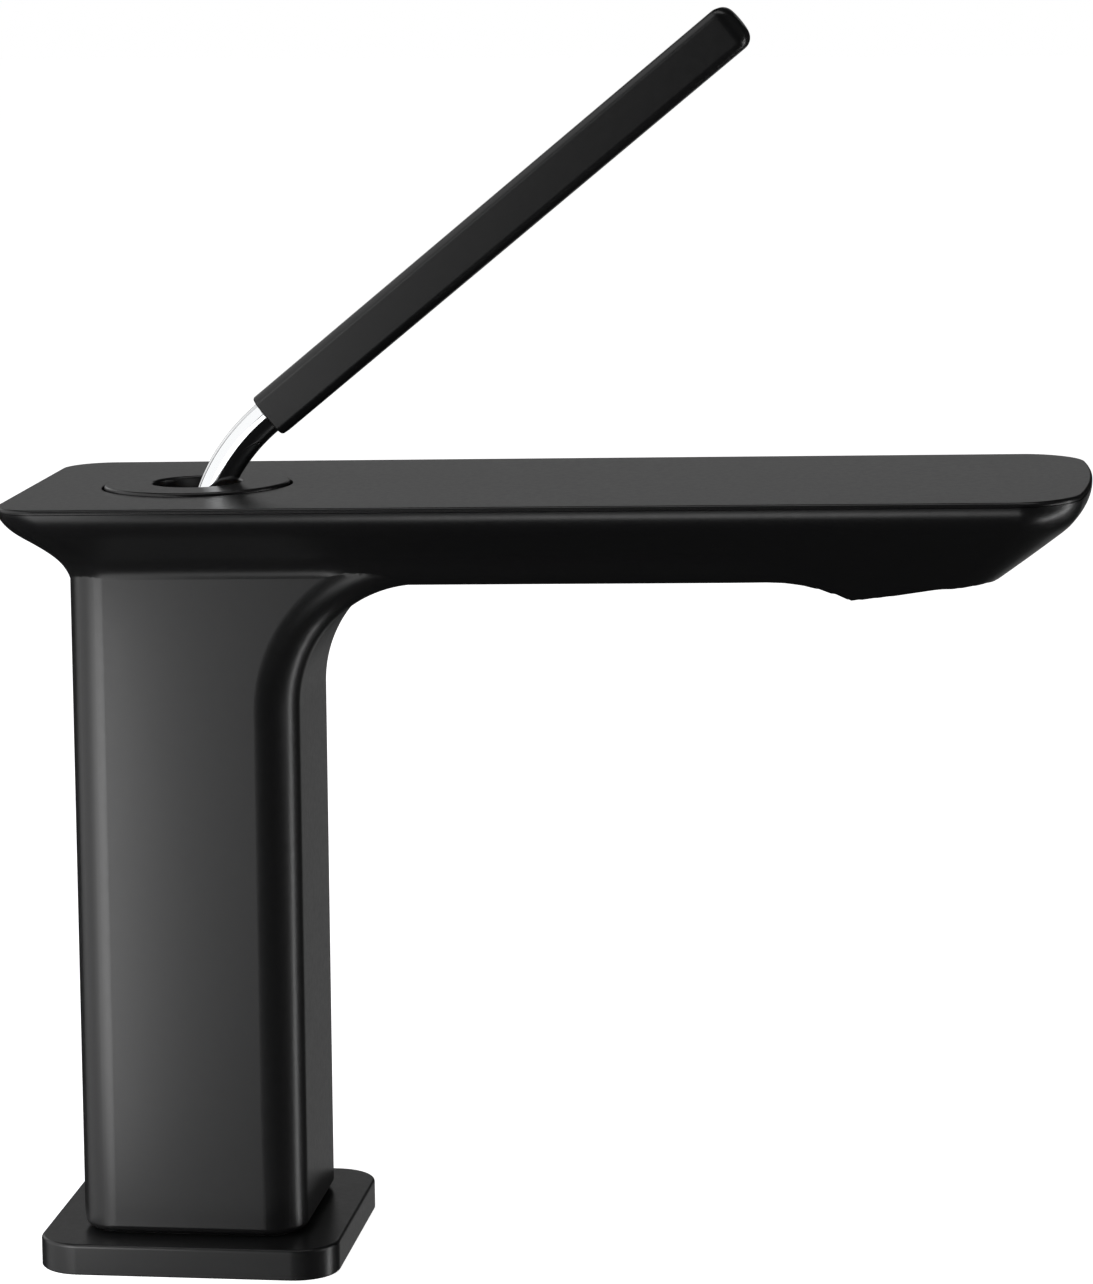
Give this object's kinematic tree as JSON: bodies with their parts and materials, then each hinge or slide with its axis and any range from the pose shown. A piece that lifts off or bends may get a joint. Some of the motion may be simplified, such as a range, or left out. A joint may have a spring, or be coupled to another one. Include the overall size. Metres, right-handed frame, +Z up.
{
  "type": "bathroom mixer faucet",
  "caption": "Deck-mounted single-lever basin mixer: square column, long flat overhanging spout with an aerator, and a slim joystick lever on a bent stem.",
  "frame": {"origin": "middle of the base plate's underside, on the deck, between the two water inlets", "axes": "+Z up out of the deck along the column, +X forward along the spout, +Y towards the cold inlet"},
  "size_m": [0.2079, 0.075, 0.3091],
  "materials": {
    "black_finish": "satin black over brass",
    "chrome": "polished",
    "brass": "machined",
    "steel": "zinc plated",
    "copper": "drawn copper alloy tube",
    "rubber": "matte black",
    "cartridge_plastic": "moulded",
    "ceramic": "lapped"
  },
  "bodies": {
    "faucet_body": {"body_shell": "black_finish", "base_plate": "black_finish", "base_gasket": "rubber", "column_gasket": "rubber", "foot_block": "brass", "clamp_washer": "rubber", "clamp_plate": "steel", "foot_screw_1": "steel", "foot_screw_2": "steel", "stud_front": "steel", "stud_back": "steel", "spring_washer_front": "steel", "spring_washer_back": "steel", "nut_front": "brass", "nut_back": "brass", "hot_riser": "copper", "cold_riser": "copper", "hot_riser_o_ring_lower": "rubber", "hot_riser_o_ring_upper": "rubber", "cold_riser_o_ring_lower": "rubber", "cold_riser_o_ring_upper": "rubber", "cartridge_base": "cartridge_plastic", "seal_hot": "rubber", "seal_cold": "rubber", "cartridge_casing": "cartridge_plastic", "cartridge_o_ring": "rubber", "fixed_disc": "ceramic", "cartridge_nut": "brass", "rosette": "black_finish", "rosette_o_ring": "rubber", "aerator_shell": "black_finish", "aerator_insert": "cartridge_plastic", "aerator_screen": "steel", "flow_restrictor": "cartridge_plastic", "aerator_washer": "rubber"},
    "swivel": {"swivel_guide": "cartridge_plastic", "spindle_pin": "steel"},
    "lever": {"spindle": "brass", "lever_stem": "chrome", "stem_set_screw": "steel", "lever_grip": "black_finish", "grip_set_screw": "steel"},
    "moving_disc": {"sliding_disc": "ceramic", "disc_carrier": "cartridge_plastic"}
  },
  "joints": [
    {"name": "temperature_turn", "type": "hinge", "parent": "faucet_body", "child": "swivel", "pos_m": [0.00033, 0, 0.1337], "axis": [-0.0166, 0, 0.9999], "range_deg": [-45, 45]},
    {"name": "lever_lift", "type": "hinge", "parent": "swivel", "child": "lever", "pos_m": [0.00033, 0, 0.1337], "axis": [0, -1, 0], "range_deg": [0, 22]},
    {"name": "disc_travel", "type": "slide", "parent": "swivel", "child": "moving_disc", "axis": [0.9999, 0, 0.0166], "range_m": [0, 0.00307]}
  ],
  "couplings": [
    {"joint": "disc_travel", "follows": "lever_lift", "m_per_rad": 0.008}
  ]
}
